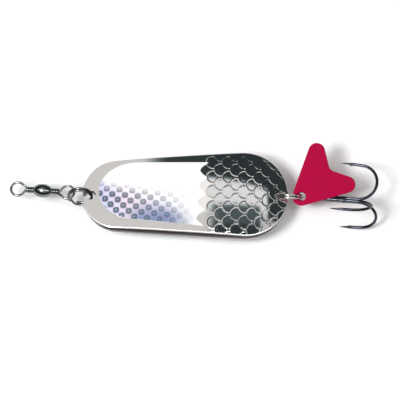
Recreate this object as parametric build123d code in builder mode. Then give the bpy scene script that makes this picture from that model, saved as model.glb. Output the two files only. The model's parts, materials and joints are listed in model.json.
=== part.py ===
from build123d import *
from math import asin, atan2, cos, radians, sin, sqrt
import os

# Twin-blade spoon lure, in millimetres. The origin is the centre of the line eye, +X runs
# towards the treble, +Y across the blades and +Z out of the front blade's face.

# blades
blade_tip = Vector(23.7, -3.13, 1.0)  # head tip of both blades, on the plane between them
blade_length = 75.0
head_radius = 12.8
tail_radius = 15.85
blade_thickness = 0.8
tip_lift = 0.75  # middle of the sheet above the shared plane at the two tips
belly_lift = 3.3  # further rise of the sheet at mid length
crown_radius = 136.0  # from the shared plane down to the axis that the sheet curves about
crown_arc = 16.0  # degrees of that curve, wider than the blade
hole_radius = 1.8
head_hole_inset = 3.1
tail_hole_inset = 3.3
profile_stations = 11

# printed foil on each blade
foil_thickness = 0.08
foil_left = 6.0
foil_straight = 20.0  # the curved end stops here
foil_right_top = 46.0
foil_right_bottom = 44.1
foil_top = 11.8
foil_bottom_left = -9.7
foil_bottom_right = -12.4
foil_end_slope = 0.1  # the lower edge already slants where the curved end meets it
foil_scallops = 4
scallop_radius = 3.25
scallop_offset = 0.55

# split rings, each one wire of nearly two turns
ring_wire = 0.9
ring_outer = 9.4
ring_pitch = 0.93
ring_jog = 36.0  # degrees in which the wire crosses from one turn to the next
ring_end_gap = 5.0
ring_start = -110.0
ring_slack = 0.25  # how far the wire stands from the middle of its hole
front_ring_lean = 20.0
rear_ring_lean = -17.0

# swivel
swivel_wire = 0.8
eye_outer = 5.85
rear_eye_centre = Vector(18.26, -1.95, 2.13)
barrel_length = 6.6
barrel_radius = 2.55
barrel_end_radius = 1.25
barrel_wall = 0.6
barrel_end_wall = 0.7
barrel_bore_radius = 0.48
cavity_end_radius = 1.1
shank_radius = 0.42
wrap_turns = 4
wrap_gap = 0.2  # from the barrel's end to the first wrap
wrap_pitch = 0.82
wrap_radius = 0.78  # middle of the wrapped wire from the swivel's axis
head_radius_inside = 0.85
head_length = 0.8
head_clearance = 0.15

# tail: treble and tag sit on the rear ring's far side
tail_pitch = 12.0
tag_lift = 1.15
tag_thickness = 0.9
tag_turn = 42.8
tag_hole_offset = 0.26
tag_hole_radius = 1.65
tag_end_radius = 3.4
tag_lobe_radius = 3.0
tag_lobe_reach = 17.4
tag_lobe_angle = 28.4
tag_notch_reach = 14.2
tag_notch_fillet = 2.4

treble_drop = 1.0
treble_shift = 0.05
treble_yaw = -4.3
treble_roll = 13.7
hook_wire = 1.1
hook_eye_inner = 2.9
strand_gap = 0.04
hook_spread = 60.0  # degrees that each of the paired hooks stands off the mirror plane
bend_start = 20.6
bend_radius = 6.4
leg_flare = 4.0
leg_length = 3.2
point_length = 5.0
point_tip_radius = 0.06
barb_back = 3.3  # from the tip of the point to the root of the barb
barb_length = 1.5
barb_angle = 22.0
barb_radius = 0.28
single_start = 5.0
braze_start = 5.6
braze_length = 11.0
braze_coat = 0.1

os.makedirs("parts", exist_ok=True)


def save(piece, name):
    piece.part.label = name
    export_step(piece.part, f"parts/{name}.step")


def sheet_top(x):
    # height of the outer face above the shared plane, x from the head tip
    across = abs(2 * x / blade_length - 1)
    return tip_lift + belly_lift * (1 - across**3) + blade_thickness / 2


def outer_points(rise):
    step = blade_length / (profile_stations - 1)
    stations = [step * i for i in range(profile_stations)]
    return [(x, crown_radius + sheet_top(x) + rise) for x in stations]


# the blades' shared plane, and the tilted plane that their sheet is revolved from
blades = Plane(origin=blade_tip)
crown_centre = blade_tip - Vector(0, 0, crown_radius)
crown_axis = Axis(crown_centre, (1, 0, 0))
half_arc = radians(crown_arc / 2)
crown_start = Plane(crown_centre, x_dir=(1, 0, 0), z_dir=(0, -cos(half_arc), sin(half_arc)))


def sheet_profile(low, high):
    # the band between two copies of the outer face's curve, low and high above it
    with BuildSketch(crown_start) as band:
        with BuildLine():
            top = Spline(*outer_points(high))
            bottom = Spline(*outer_points(low))
            Line(top @ 0, bottom @ 0)
            Line(top @ 1, bottom @ 1)
        make_face()
    return band.sketch


with BuildPart() as front_blade:
    revolve(sheet_profile(-blade_thickness, 0), axis=crown_axis, revolution_arc=crown_arc)
    with BuildSketch(blades):
        with Locations((head_radius, 0)):
            Circle(head_radius)
        with Locations((blade_length - tail_radius, 0)):
            Circle(tail_radius)
        make_hull()
    extrude(amount=2 * (tip_lift + belly_lift), mode=Mode.INTERSECT)
    with BuildSketch(blades):
        with Locations((head_hole_inset, 0), (blade_length - tail_hole_inset, 0)):
            Circle(hole_radius)
    extrude(amount=2 * (tip_lift + belly_lift), mode=Mode.SUBTRACT)
save(front_blade, "front_blade")

with BuildPart() as rear_blade:
    mirror(front_blade.part, about=blades)
save(rear_blade, "rear_blade")

with BuildPart() as front_foil:
    revolve(sheet_profile(0, foil_thickness), axis=crown_axis, revolution_arc=crown_arc)
    with BuildSketch(blades):
        with BuildLine():
            Polyline(
                (foil_straight, foil_top),
                (foil_right_top, foil_top),
                (foil_right_bottom, foil_bottom_right),
                (foil_straight, foil_bottom_left),
            )
            Spline(
                (foil_straight, foil_top),
                (foil_left, (foil_top + foil_bottom_left) / 2),
                (foil_straight, foil_bottom_left),
                tangents=[(-1, 0), (1, -foil_end_slope)],
            )
        make_face()
        for i in range(foil_scallops):
            down = (i + 0.5) / foil_scallops
            edge = foil_right_top + down * (foil_right_bottom - foil_right_top)
            centre_y = foil_top + down * (foil_bottom_right - foil_top)
            with Locations((edge + scallop_offset, centre_y)):
                Circle(scallop_radius, mode=Mode.SUBTRACT)
    extrude(amount=2 * (tip_lift + belly_lift), mode=Mode.INTERSECT)
save(front_foil, "front_foil")

with BuildPart() as rear_foil:
    mirror(front_foil.part, about=blades)
save(rear_foil, "rear_foil")


# ---- split rings
ring_radius = (ring_outer - ring_wire) / 2


def ring_plane(centre, lean):
    # local x lies along +X and local z is the coil's own axis
    return Plane(centre, x_dir=(1, 0, 0), z_dir=(0, -cos(radians(lean)), sin(radians(lean))))


def split_ring(plane):
    # the wire goes round once, crosses over in the jog and goes round again
    turn = 360 - ring_jog
    low = -ring_pitch / 2
    high = ring_pitch / 2
    with BuildLine(plane) as coil:
        first = CenterArc((0, 0, low), ring_radius, ring_start, turn)
        second = CenterArc((0, 0, high), ring_radius, ring_start, turn - ring_end_gap)
        middle = radians(ring_start - ring_jog / 2)
        cross = plane.from_local_coords((ring_radius * cos(middle), ring_radius * sin(middle), 0))
        Spline(first @ 1, cross, second @ 0, tangents=[first % 1, second % 0])
    with BuildSketch(Plane(first @ 0, z_dir=first % 0)) as section:
        Circle(ring_wire / 2)
    sweep(section.sketch, path=coil.wires()[0])


front_ring_centre = blade_tip + Vector(head_hole_inset + ring_slack - ring_radius, 0, 0)
rear_ring_centre = blade_tip + Vector(
    blade_length - tail_hole_inset - ring_slack + ring_radius, 0, 0
)

with BuildPart() as front_split_ring:
    split_ring(ring_plane(front_ring_centre, front_ring_lean))
save(front_split_ring, "front_split_ring")

with BuildPart() as rear_split_ring:
    split_ring(ring_plane(rear_ring_centre, rear_ring_lean))
save(rear_split_ring, "rear_split_ring")

# ---- swivel: local x runs from the line eye to the rear eye, local z is up
swivel_line = rear_eye_centre.normalized()
swivel_side = Vector(0, 0, 1).cross(swivel_line).normalized()
swivel_up = swivel_line.cross(swivel_side)
swivel_plane = Plane((0, 0, 0), x_dir=swivel_line, z_dir=swivel_up)
swivel_axis = Axis((0, 0, 0), swivel_line)
swivel_length = rear_eye_centre.length
barrel_middle = swivel_length / 2
half_barrel = barrel_length / 2
cavity_half = half_barrel - barrel_end_wall

with BuildPart() as swivel_barrel:
    with BuildSketch(Plane(swivel_plane * Pos(barrel_middle, 0, 0))):
        with BuildLine():
            outer = ThreePointArc(
                (-half_barrel, barrel_end_radius),
                (0, barrel_radius),
                (half_barrel, barrel_end_radius),
            )
            inner = ThreePointArc(
                (-cavity_half, cavity_end_radius),
                (0, barrel_radius - barrel_wall),
                (cavity_half, cavity_end_radius),
            )
            for end, side in ((0, -1), (1, 1)):
                Polyline(
                    outer @ end,
                    (side * half_barrel, barrel_bore_radius),
                    (side * cavity_half, barrel_bore_radius),
                    inner @ end,
                )
        make_face()
    revolve(axis=swivel_axis)
save(swivel_barrel, "swivel_barrel")


def swivel_eye(centre_at, towards):
    # a closed loop, a wrapped neck, a shank through the barrel's end and its upset head
    eye_radius = (eye_outer - swivel_wire) / 2
    inner_end = barrel_middle - towards * (cavity_half - head_clearance)
    shank_start = centre_at + towards * eye_radius
    wraps_end = barrel_middle - towards * (half_barrel + wrap_gap)
    with Locations(swivel_plane * Pos(centre_at, 0, 0)):
        Torus(eye_radius, swivel_wire / 2)
    with BuildSketch(swivel_plane) as profile:
        with Locations(((shank_start + inner_end) / 2, shank_radius / 2)):
            Rectangle(abs(inner_end - shank_start), shank_radius)
        with Locations((inner_end + towards * head_length / 2, head_radius_inside / 2)):
            Rectangle(head_length, head_radius_inside)
        for turn in range(wrap_turns):
            along = wraps_end - towards * (swivel_wire / 2 + wrap_pitch * turn)
            with Locations((along, wrap_radius)):
                Circle(swivel_wire / 2)
    revolve(profile.sketch, axis=swivel_axis)


with BuildPart() as swivel_front_eye:
    swivel_eye(0, 1)
save(swivel_front_eye, "swivel_front_eye")

with BuildPart() as swivel_rear_eye:
    swivel_eye(swivel_length, -1)
save(swivel_rear_eye, "swivel_rear_eye")

# ---- tail plane: on the rear ring's far side, pitched up along the ring's own plane
lean = radians(rear_ring_lean)
ring_across = Vector(0, sin(lean), cos(lean))
tail_out = Vector(cos(radians(tail_pitch)), 0, 0) + ring_across * sin(radians(tail_pitch))
tail_up = ring_across * cos(radians(tail_pitch)) - Vector(sin(radians(tail_pitch)), 0, 0)
tail_plane = Plane(rear_ring_centre + Vector(ring_radius, 0, 0), x_dir=tail_out, z_dir=tail_up)

tag_place = Pos(tag_hole_offset, 0, tag_lift - tag_thickness / 2) * Rot(Z=tag_turn)
tag_plane = Plane(tail_plane * tag_place)
treble_place = Pos(treble_shift, 0, -treble_drop) * Rot(Z=treble_yaw) * Rot(X=treble_roll)
treble_plane = Plane(tail_plane * treble_place)

with BuildPart() as tail_tag:
    lobe_x = tag_lobe_reach * cos(radians(tag_lobe_angle))
    lobe_y = tag_lobe_reach * sin(radians(tag_lobe_angle))
    # the notch's edges are tangent to the two lobes
    to_lobe = Vector(lobe_x - tag_notch_reach, lobe_y)
    edge_angle = atan2(to_lobe.Y, to_lobe.X) - asin(tag_lobe_radius / to_lobe.length)
    tangent_x = lobe_x + tag_lobe_radius * sin(edge_angle)
    tangent_y = lobe_y - tag_lobe_radius * cos(edge_angle)
    with BuildSketch(tag_plane) as tag_outline:
        for side in (1, -1):
            with BuildSketch(mode=Mode.PRIVATE) as lobe:
                Circle(tag_end_radius)
                with Locations((lobe_x, side * lobe_y)):
                    Circle(tag_lobe_radius)
                make_hull()
            add(lobe.sketch)
        Polygon(
            (0, 0),
            (lobe_x, -lobe_y),
            (tangent_x, -tangent_y),
            (tag_notch_reach, 0),
            (tangent_x, tangent_y),
            (lobe_x, lobe_y),
            align=None,
        )
        Circle(tag_hole_radius, mode=Mode.SUBTRACT)
    extrude(amount=tag_thickness)
    notch = tail_tag.edges().filter_by(Axis(tag_plane.origin, tag_plane.z_dir))
    notch_at = tag_plane.from_local_coords(Vector(tag_notch_reach, 0, tag_thickness / 2))
    fillet(notch.sort_by_distance(notch_at)[0], radius=tag_notch_fillet)
save(tail_tag, "tail_tag")


# ---- treble: two hooks of one bent wire, and a third brazed between them
wire_radius = hook_wire / 2
strand_offset = wire_radius + strand_gap / 2
single_lift = sqrt((2 * strand_offset) ** 2 - strand_offset**2)


def add_hook(strand, start):
    # strand: a plane whose local x runs along the shank and whose y points to the hook's side
    with BuildLine(strand) as path:
        shank = Line((start, 0), (bend_start, 0))
        bend = CenterArc((bend_start, bend_radius), bend_radius, -90, 180 - leg_flare)
        back = bend % 1
        leg = Line(bend @ 1, (bend @ 1) + back * leg_length)
    with BuildSketch(Plane(shank @ 0, z_dir=strand.x_dir)) as section:
        Circle(wire_radius)
    sweep(section.sketch, path=path.wires()[0])
    tip = (leg @ 1) + back * point_length
    with BuildSketch(Plane(leg @ 1, z_dir=back)) as root:
        Circle(wire_radius)
    with BuildSketch(Plane(tip, z_dir=back)) as end:
        Circle(point_tip_radius)
    loft([root.sketch, end.sketch])
    # the barb lifts from the point's inner side and faces back to the bend
    barb_foot = tip - back * barb_back
    barb_line = (-back).rotate(Axis((0, 0, 0), strand.z_dir), -barb_angle)
    with BuildSketch(Plane(barb_foot, z_dir=barb_line)) as barb_root:
        Circle(barb_radius)
    with BuildSketch(Plane(barb_foot + barb_line * barb_length, z_dir=barb_line)) as barb_end:
        Circle(point_tip_radius)
    loft([barb_root.sketch, barb_end.sketch])


with BuildPart() as treble_double_wire:
    eye_middle = (hook_eye_inner + hook_wire) / 2
    with Locations(treble_plane.location):
        Torus(eye_middle, wire_radius)
    strand_start = sqrt(eye_middle**2 - strand_offset**2)
    for side in (1, -1):
        strand = Pos(0, side * strand_offset, 0) * Rot(X=-90 + side * hook_spread)
        add_hook(Plane(treble_plane * strand), strand_start)
save(treble_double_wire, "treble_double_wire")

with BuildPart() as treble_single_wire:
    add_hook(Plane(treble_plane * Pos(0, 0, single_lift) * Rot(X=90)), single_start)
save(treble_single_wire, "treble_single_wire")

with BuildPart() as treble_braze:
    with BuildSketch(Plane(treble_plane.from_local_coords(Vector(braze_start, 0, 0)),
                           x_dir=treble_plane.y_dir, z_dir=treble_plane.x_dir)):
        wires = [(strand_offset, 0), (-strand_offset, 0), (0, single_lift)]
        with Locations(*wires):
            Circle(wire_radius + braze_coat)
        make_hull()
        with Locations(*wires):
            Circle(wire_radius, mode=Mode.SUBTRACT)
    extrude(amount=braze_length)
save(treble_braze, "treble_braze")
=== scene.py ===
import json
import math

import bmesh
import bpy
from mathutils import Matrix, Vector


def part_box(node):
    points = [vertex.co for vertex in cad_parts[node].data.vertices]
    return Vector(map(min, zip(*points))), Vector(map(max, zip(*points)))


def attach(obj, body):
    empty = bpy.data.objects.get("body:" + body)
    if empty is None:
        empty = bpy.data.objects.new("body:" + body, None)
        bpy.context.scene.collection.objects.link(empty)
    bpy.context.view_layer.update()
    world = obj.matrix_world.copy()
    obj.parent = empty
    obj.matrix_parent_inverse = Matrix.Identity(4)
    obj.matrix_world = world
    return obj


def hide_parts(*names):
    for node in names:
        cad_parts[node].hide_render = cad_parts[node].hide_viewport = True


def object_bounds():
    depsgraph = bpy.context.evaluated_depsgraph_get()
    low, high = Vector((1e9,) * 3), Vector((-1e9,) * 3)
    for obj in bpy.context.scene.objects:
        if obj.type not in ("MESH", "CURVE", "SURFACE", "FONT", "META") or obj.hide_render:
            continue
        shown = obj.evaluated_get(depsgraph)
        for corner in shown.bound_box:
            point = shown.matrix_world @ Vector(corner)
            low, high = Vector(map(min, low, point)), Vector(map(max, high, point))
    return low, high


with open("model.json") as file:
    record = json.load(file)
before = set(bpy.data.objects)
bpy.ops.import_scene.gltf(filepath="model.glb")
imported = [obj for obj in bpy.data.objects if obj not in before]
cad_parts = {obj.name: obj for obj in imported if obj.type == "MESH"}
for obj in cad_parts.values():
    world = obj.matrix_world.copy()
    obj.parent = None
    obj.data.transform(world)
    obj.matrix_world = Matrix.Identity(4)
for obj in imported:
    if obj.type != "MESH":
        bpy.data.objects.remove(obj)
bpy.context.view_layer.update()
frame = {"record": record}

mm = 0.001
scene = bpy.context.scene
mounts = {mount["name"]: Vector(mount["pos_m"]) for mount in frame["record"]["mounts"]}
bladeLow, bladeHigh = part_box("front_blade")
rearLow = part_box("rear_blade")[0]
bladeMiddle = (bladeHigh.z + rearLow.z) / 2  # the plane between the two blades
bladeTip = Vector((bladeLow.x, (bladeLow.y + bladeHigh.y) / 2, bladeMiddle))


# ---- camera: above the lure and a little to its near side, long lens
view = {
    "tilt": 17.0,  # degrees off straight down
    "distance": 1.6,
    "width": 146.0 * mm,  # what the frame takes in at the lure
    "aim": Vector((66.6, -4.5, 1.0)) * mm,
}
cameraData = bpy.data.cameras.new("camera")
camera = bpy.data.objects.new("camera", cameraData)
scene.collection.objects.link(camera)
scene.camera = camera
tilt = math.radians(view["tilt"])
camera.location = view["aim"] + view["distance"] * Vector((0, -math.sin(tilt), math.cos(tilt)))
camera.rotation_euler = (tilt, 0, 0)
cameraData.sensor_width = 36
cameraData.lens = cameraData.sensor_width * view["distance"] / view["width"]
cameraData.clip_start = 0.01
cameraData.clip_end = 20


# ---- node and mesh helpers
def nodeMath(tree, operation, *values, clamp=False):
    node = tree.nodes.new("ShaderNodeMath")
    node.operation = operation
    node.use_clamp = clamp
    for socket, value in zip(node.inputs, values):
        if isinstance(value, bpy.types.NodeSocket):
            tree.links.new(value, socket)
        else:
            socket.default_value = value
    return node.outputs[0]


def smoothStep(tree, value, low, high):
    node = tree.nodes.new("ShaderNodeMapRange")
    node.interpolation_type = "SMOOTHSTEP"
    for socket, given in zip(node.inputs[:3], (value, low, high)):
        if isinstance(given, bpy.types.NodeSocket):
            tree.links.new(given, socket)
        else:
            socket.default_value = given
    return node.outputs[0]


def mixColour(tree, factor, first, second, blendType="MIX"):
    node = tree.nodes.new("ShaderNodeMix")
    node.data_type = "RGBA"
    node.blend_type = blendType
    node.clamp_factor = True
    sockets = (node.inputs["Factor"], *[s for s in node.inputs if s.type == "RGBA"])
    for socket, value in zip(sockets, (factor, first, second)):
        if isinstance(value, bpy.types.NodeSocket):
            tree.links.new(value, socket)
        elif socket.type == "RGBA":
            socket.default_value = (*value, 1)
        else:
            socket.default_value = value
    return next(s for s in node.outputs if s.type == "RGBA")


def newMaterial(name, **settings):
    material = bpy.data.materials.new(name)
    material.use_nodes = True
    tree = material.node_tree
    shader = tree.nodes["Principled BSDF"]
    for socket, value in settings.items():
        shader.inputs[socket.replace("_", " ")].default_value = value
    return material, tree, shader


def objectPoint(tree, offset=(0, 0, 0), scale=(1, 1, 1), turn=(0, 0, 0)):
    place = tree.nodes.new("ShaderNodeTexCoord")
    mapping = tree.nodes.new("ShaderNodeMapping")
    mapping.vector_type = "POINT"
    mapping.inputs["Location"].default_value = offset
    mapping.inputs["Rotation"].default_value = turn
    mapping.inputs["Scale"].default_value = scale
    tree.links.new(place.outputs["Object"], mapping.inputs["Vector"])
    return mapping.outputs["Vector"]


def noise(tree, vector, scale, detail=3.0, roughness=0.55, distortion=0.0):
    node = tree.nodes.new("ShaderNodeTexNoise")
    node.inputs["Scale"].default_value = scale
    node.inputs["Detail"].default_value = detail
    node.inputs["Roughness"].default_value = roughness
    node.inputs["Distortion"].default_value = distortion
    tree.links.new(vector, node.inputs["Vector"])
    return node.outputs["Fac"]


def addBump(tree, shader, height, strength, distance, after=None):
    node = tree.nodes.new("ShaderNodeBump")
    node.inputs["Strength"].default_value = strength
    node.inputs["Distance"].default_value = distance
    tree.links.new(height, node.inputs["Height"])
    if after is not None:
        tree.links.new(after, node.inputs["Normal"])
    tree.links.new(node.outputs[0], shader.inputs["Normal"])
    return node.outputs[0]


def meshPiece(name, verts, faces, materials):
    mesh = bpy.data.meshes.new(name)
    mesh.from_pydata([tuple(v) for v in verts], [], faces)
    piece = bpy.data.objects.new(name, mesh)
    scene.collection.objects.link(piece)
    for material in materials:
        mesh.materials.append(material)
    return piece


def settle(piece, angle=40, outwards=True):
    # what the modifiers leave, as a plain mesh with its doubles merged
    bpy.context.view_layer.update()
    made = bpy.data.meshes.new_from_object(piece.evaluated_get(bpy.context.evaluated_depsgraph_get()))
    piece.modifiers.clear()
    piece.data = made
    made.name = piece.name
    work = bmesh.new()
    work.from_mesh(made)
    bmesh.ops.remove_doubles(work, verts=work.verts, dist=1e-6)
    bmesh.ops.dissolve_degenerate(work, edges=work.edges, dist=1e-7)
    if outwards:
        bmesh.ops.recalc_face_normals(work, faces=work.faces)
    work.to_mesh(made)
    work.free()
    made.polygons.foreach_set("use_smooth", [True] * len(made.polygons))
    made.set_sharp_from_angle(angle=math.radians(angle))
    return piece


# ---- finishes
def platedMaterial(name, colour, roughness, wear, grainTurn=0.0):
    # rolled, plated metal: fine lengthwise grain, faint cloudiness and hairline scratches
    material, tree, shader = newMaterial(name, Metallic=1.0)
    grain = noise(tree, objectPoint(tree, scale=(120, 4200, 4200), turn=(0, 0, grainTurn)), 1.0, 4)
    cloud = noise(tree, objectPoint(tree), 190, 5, 0.6)
    scratch = noise(tree, objectPoint(tree, scale=(300, 9000, 300), turn=(0, 0, 0.6)), 1.0, 1)
    hairline = smoothStep(tree, scratch, 0.68, 0.74)
    tone = nodeMath(tree, "MULTIPLY_ADD", cloud, 0.10, 0.93)
    tone = nodeMath(tree, "MULTIPLY_ADD", grain, 0.05, tone)
    combine = tree.nodes.new("ShaderNodeCombineColor")
    for socket in combine.inputs:
        tree.links.new(tone, socket)
    base = mixColour(tree, 1.0, combine.outputs[0], colour, "MULTIPLY")
    tree.links.new(base, shader.inputs["Base Color"])
    rough = nodeMath(tree, "MULTIPLY_ADD", cloud, wear, roughness - wear / 2)
    rough = nodeMath(tree, "MULTIPLY_ADD", hairline, 0.08, rough)
    tree.links.new(rough, shader.inputs["Roughness"])
    addBump(tree, shader, grain, 0.12, 0.02 * mm)
    return material, tree, shader, base, rough


bladeMetal, bladeTree, bladeShader, bladeBase, bladeRough = platedMaterial(
    "platedBlade", (0.84, 0.825, 0.81), 0.04, 0.02
)


def shadeBlade():
    # crests darkened with painted shade that dims their highlights, the struck hollows a little duller, and
    # the inner faces rolled and rougher with a darker mauve-grey painted shade from the gap between the
    # blades
    crest = bladeTree.nodes.new("ShaderNodeAttribute")
    crest.attribute_name = "crest"
    struck = bladeTree.nodes.new("ShaderNodeAttribute")
    struck.attribute_name = "struck"
    dullAndCrestShade = mixColour(bladeTree, struck.outputs["Fac"], (1, 1, 1), (0.80, 0.81, 0.83))
    # painted shade: the crests are darkened to dim their highlights
    dullAndCrestShade = mixColour(bladeTree, crest.outputs["Fac"], dullAndCrestShade, (0.80, 0.81, 0.82))
    base = mixColour(bladeTree, 1.0, bladeBase, dullAndCrestShade, "MULTIPLY")
    bladeTree.links.new(base, bladeShader.inputs["Base Color"])
    rough = nodeMath(bladeTree, "MULTIPLY_ADD", struck.outputs["Fac"], 0.01, bladeRough)
    rough = nodeMath(bladeTree, "MULTIPLY_ADD", crest.outputs["Fac"], 0.04, rough)
    rolledAndShaded = bladeTree.nodes.new("ShaderNodeAttribute")
    rolledAndShaded.attribute_name = "rolledAndShaded"
    rough = nodeMath(bladeTree, "MULTIPLY_ADD", rolledAndShaded.outputs["Fac"], 0.30, rough)
    # painted shade: the sheared edge and inner faces, between the two blades, are darkened to mauve-grey; the
    # added roughness is their rolled finish
    base = mixColour(bladeTree, rolledAndShaded.outputs["Fac"], base, (0.42, 0.39, 0.405))
    bladeTree.links.new(base, bladeShader.inputs["Base Color"])
    bladeTree.links.new(rough, bladeShader.inputs["Roughness"])


shadeBlade()
ringMetal = platedMaterial("ringNickel", (0.62, 0.60, 0.585), 0.13, 0.06)[0]
darkRingMetal = platedMaterial("darkNickel", (0.19, 0.195, 0.195), 0.16, 0.06)[0]
swivelMetal = platedMaterial("swivelNickel", (0.21, 0.225, 0.225), 0.15, 0.06)[0]
hookMetal = platedMaterial("blackNickel", (0.05, 0.055, 0.07), 0.18, 0.08)[0]


def foilMaterial():
    # printed film: white, and towards the lower head end a spotted holographic print
    film = {
        "spotRadius": 1.10,  # millimetres
        "heartRadius": 0.42,
        "white": (0.93, 0.935, 0.95),
        "lilac": (0.42, 0.47, 0.80),
        "rose": (0.80, 0.66, 0.78),
        "mist": (0.52, 0.55, 0.74),
        "slate": (0.16, 0.23, 0.42),
        "ink": (0.055, 0.095, 0.11),
        "tealGlow": (0.50, 0.68, 0.66),
    }
    material, tree, shader = newMaterial("printedFoil", Roughness=0.22, Coat_Weight=0.35)
    shader.inputs["Coat Roughness"].default_value = 0.08
    place = objectPoint(tree, offset=tuple(-c for c in bladeTip))
    split = tree.nodes.new("ShaderNodeSeparateXYZ")
    tree.links.new(place, split.inputs[0])
    along = nodeMath(tree, "MULTIPLY", split.outputs[0], 1 / mm)
    across = nodeMath(tree, "MULTIPLY", split.outputs[1], 1 / mm)

    def blendOf(first, second, shift=0.0):
        value = nodeMath(tree, "MULTIPLY_ADD", along, first, shift)
        return nodeMath(tree, "MULTIPLY_ADD", across, second, value)

    # how much print there is: all at the lower head end, none from mid length and near the top
    fadeAlong = smoothStep(tree, along, 44.5, 30.0)
    printed = nodeMath(tree, "MULTIPLY", fadeAlong, smoothStep(tree, blendOf(0.376, 1.0), 11.0, 3.0))
    spotted = nodeMath(tree, "MULTIPLY", fadeAlong, smoothStep(tree, blendOf(0.1, 1.0), 6.4, 0.5))
    # spots on a slanted lattice, each a rounded square
    offU = nodeMath(tree, "SUBTRACT", nodeMath(tree, "FRACT", blendOf(0.1839, -0.2878, 20.45)), 0.5)
    offV = nodeMath(tree, "SUBTRACT", nodeMath(tree, "FRACT", blendOf(0.2397, 0.22, 19.9)), 0.5)
    offX = nodeMath(tree, "MULTIPLY_ADD", offU, 2.01, nodeMath(tree, "MULTIPLY", offV, 2.63))
    offY = nodeMath(tree, "MULTIPLY_ADD", offU, -2.19, nodeMath(tree, "MULTIPLY", offV, 1.68))

    def reachFrom(x, y, power):
        one = nodeMath(tree, "POWER", nodeMath(tree, "ABSOLUTE", nodeMath(tree, "SUBTRACT", offX, x)), power)
        two = nodeMath(tree, "POWER", nodeMath(tree, "ABSOLUTE", nodeMath(tree, "SUBTRACT", offY, y)), power)
        return nodeMath(tree, "POWER", nodeMath(tree, "ADD", one, two), 1 / power)

    reach = reachFrom(0.0, 0.0, 3.0)
    spot = smoothStep(tree, reach, film["spotRadius"] + 0.16, film["spotRadius"] - 0.16)
    heart = smoothStep(tree, reachFrom(-0.1, 0.12, 2.0), film["heartRadius"], 0.08)
    halo = smoothStep(tree, reach, 1.05, 1.35)
    fringeRise = smoothStep(tree, reach, 0.95, 1.15)
    fringe = nodeMath(tree, "MULTIPLY", fringeRise, smoothStep(tree, reach, 1.4, 1.2))
    wander = noise(tree, place, 260, 3)
    tint = tree.nodes.new("ShaderNodeValToRGB")
    tint.color_ramp.elements[0].position = 0.16
    tint.color_ramp.elements[0].color = (*film["lilac"], 1)
    tint.color_ramp.elements[1].position = 0.62
    tint.color_ramp.elements[1].color = (*film["mist"], 1)
    rose = tint.color_ramp.elements.new(0.34)
    rose.color = (*film["rose"], 1)
    drift = nodeMath(tree, "MULTIPLY_ADD", wander, 0.12, blendOf(0.022, 0.006, -0.06))
    tree.links.new(drift, tint.inputs[0])
    deepAcross = smoothStep(tree, across, -2.0, -9.5)
    deep = nodeMath(tree, "MULTIPLY", deepAcross, smoothStep(tree, along, 11.0, 22.0))
    ground = mixColour(tree, deep, tint.outputs[0], film["slate"])
    haloShare = nodeMath(tree, "MULTIPLY", halo, nodeMath(tree, "MULTIPLY_ADD", deep, -0.36, 0.42))
    ground = mixColour(tree, haloShare, ground, (0.92, 0.90, 0.97))
    ground = mixColour(tree, nodeMath(tree, "MULTIPLY", fringe, 0.35), ground, (0.60, 0.34, 0.62))
    inked = mixColour(tree, nodeMath(tree, "MULTIPLY", heart, 0.6), film["ink"], film["tealGlow"])
    spotFade = nodeMath(tree, "MULTIPLY_ADD", smoothStep(tree, along, 36.0, 10.0), 0.48, 0.40)
    spotted = nodeMath(tree, "MULTIPLY", nodeMath(tree, "MULTIPLY", spot, spotted), spotFade)
    colour = mixColour(tree, spotted, mixColour(tree, printed, film["white"], ground), inked)
    tree.links.new(colour, shader.inputs["Base Color"])
    tree.links.new(nodeMath(tree, "MULTIPLY", printed, 0.35), shader.inputs["Metallic"])
    fine = noise(tree, objectPoint(tree, scale=(900, 900, 900)), 1.0, 2)
    tree.links.new(nodeMath(tree, "MULTIPLY_ADD", fine, 0.10, 0.18), shader.inputs["Roughness"])
    addBump(tree, shader, nodeMath(tree, "MULTIPLY_ADD", spot, -0.6, fine), 0.2, 0.02 * mm)
    return material


foilFinish = foilMaterial()


def plasticMaterial():
    # dyed, moulded plastic: satin, with soft flow mottling and a few rubbed marks
    material, tree, shader = newMaterial("redPlastic", Roughness=0.6, Specular_IOR_Level=0.05)
    mottle = noise(tree, objectPoint(tree), 160, 4)
    pebble = noise(tree, objectPoint(tree), 2600, 2)
    streaks = noise(tree, objectPoint(tree, scale=(90, 700, 90), turn=(0, 0, 0.8)), 1.0, 2)
    rubbed = smoothStep(tree, streaks, 0.62, 0.8)
    colour = mixColour(tree, mottle, (0.35, 0.0, 0.038), (0.41, 0.0, 0.046))
    colour = mixColour(tree, nodeMath(tree, "MULTIPLY", rubbed, 0.25), colour, (0.56, 0.012, 0.08))
    tree.links.new(colour, shader.inputs["Base Color"])
    rough = nodeMath(tree, "MULTIPLY_ADD", mottle, 0.16, 0.52)
    rough = nodeMath(tree, "MULTIPLY_ADD", rubbed, 0.12, rough)
    tree.links.new(rough, shader.inputs["Roughness"])
    addBump(tree, shader, pebble, 0.18, 0.03 * mm)
    return material


tagPlastic = plasticMaterial()
print("finishes made")


# ---- blades: struck sheet with a rolled rim, an eyelet hole at each end and embossed scales
blade = {
    "length": 75.0,
    "headRadius": 12.8,
    "tailRadius": 15.85,
    "thickness": 0.8,
    "tipLift": 0.75,
    "bellyLift": 3.3,
    "crownRadius": 136.0,
    "holes": (3.1, 75.0 - 3.3),
    "holeRadius": 1.8,
    "rimBevel": 0.2,
    "fineFrom": 38.0,  # the embossed stretch is meshed finely from here on
    "fineStep": 0.17,
    "coarseStep": 0.8,
    "rows": 176,
    "backRows": 24,
}
scales = {
    "Pitch": 5.72,
    "Radius": 2.36,
    "Ridge Width": 0.11,
    "Ridge Height": 0.036,
    "Dome Height": 0.004,
    "Start": 46.5,
    "Shift X": 1.94,
    "Shift Y": 0.5,
}


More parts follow.
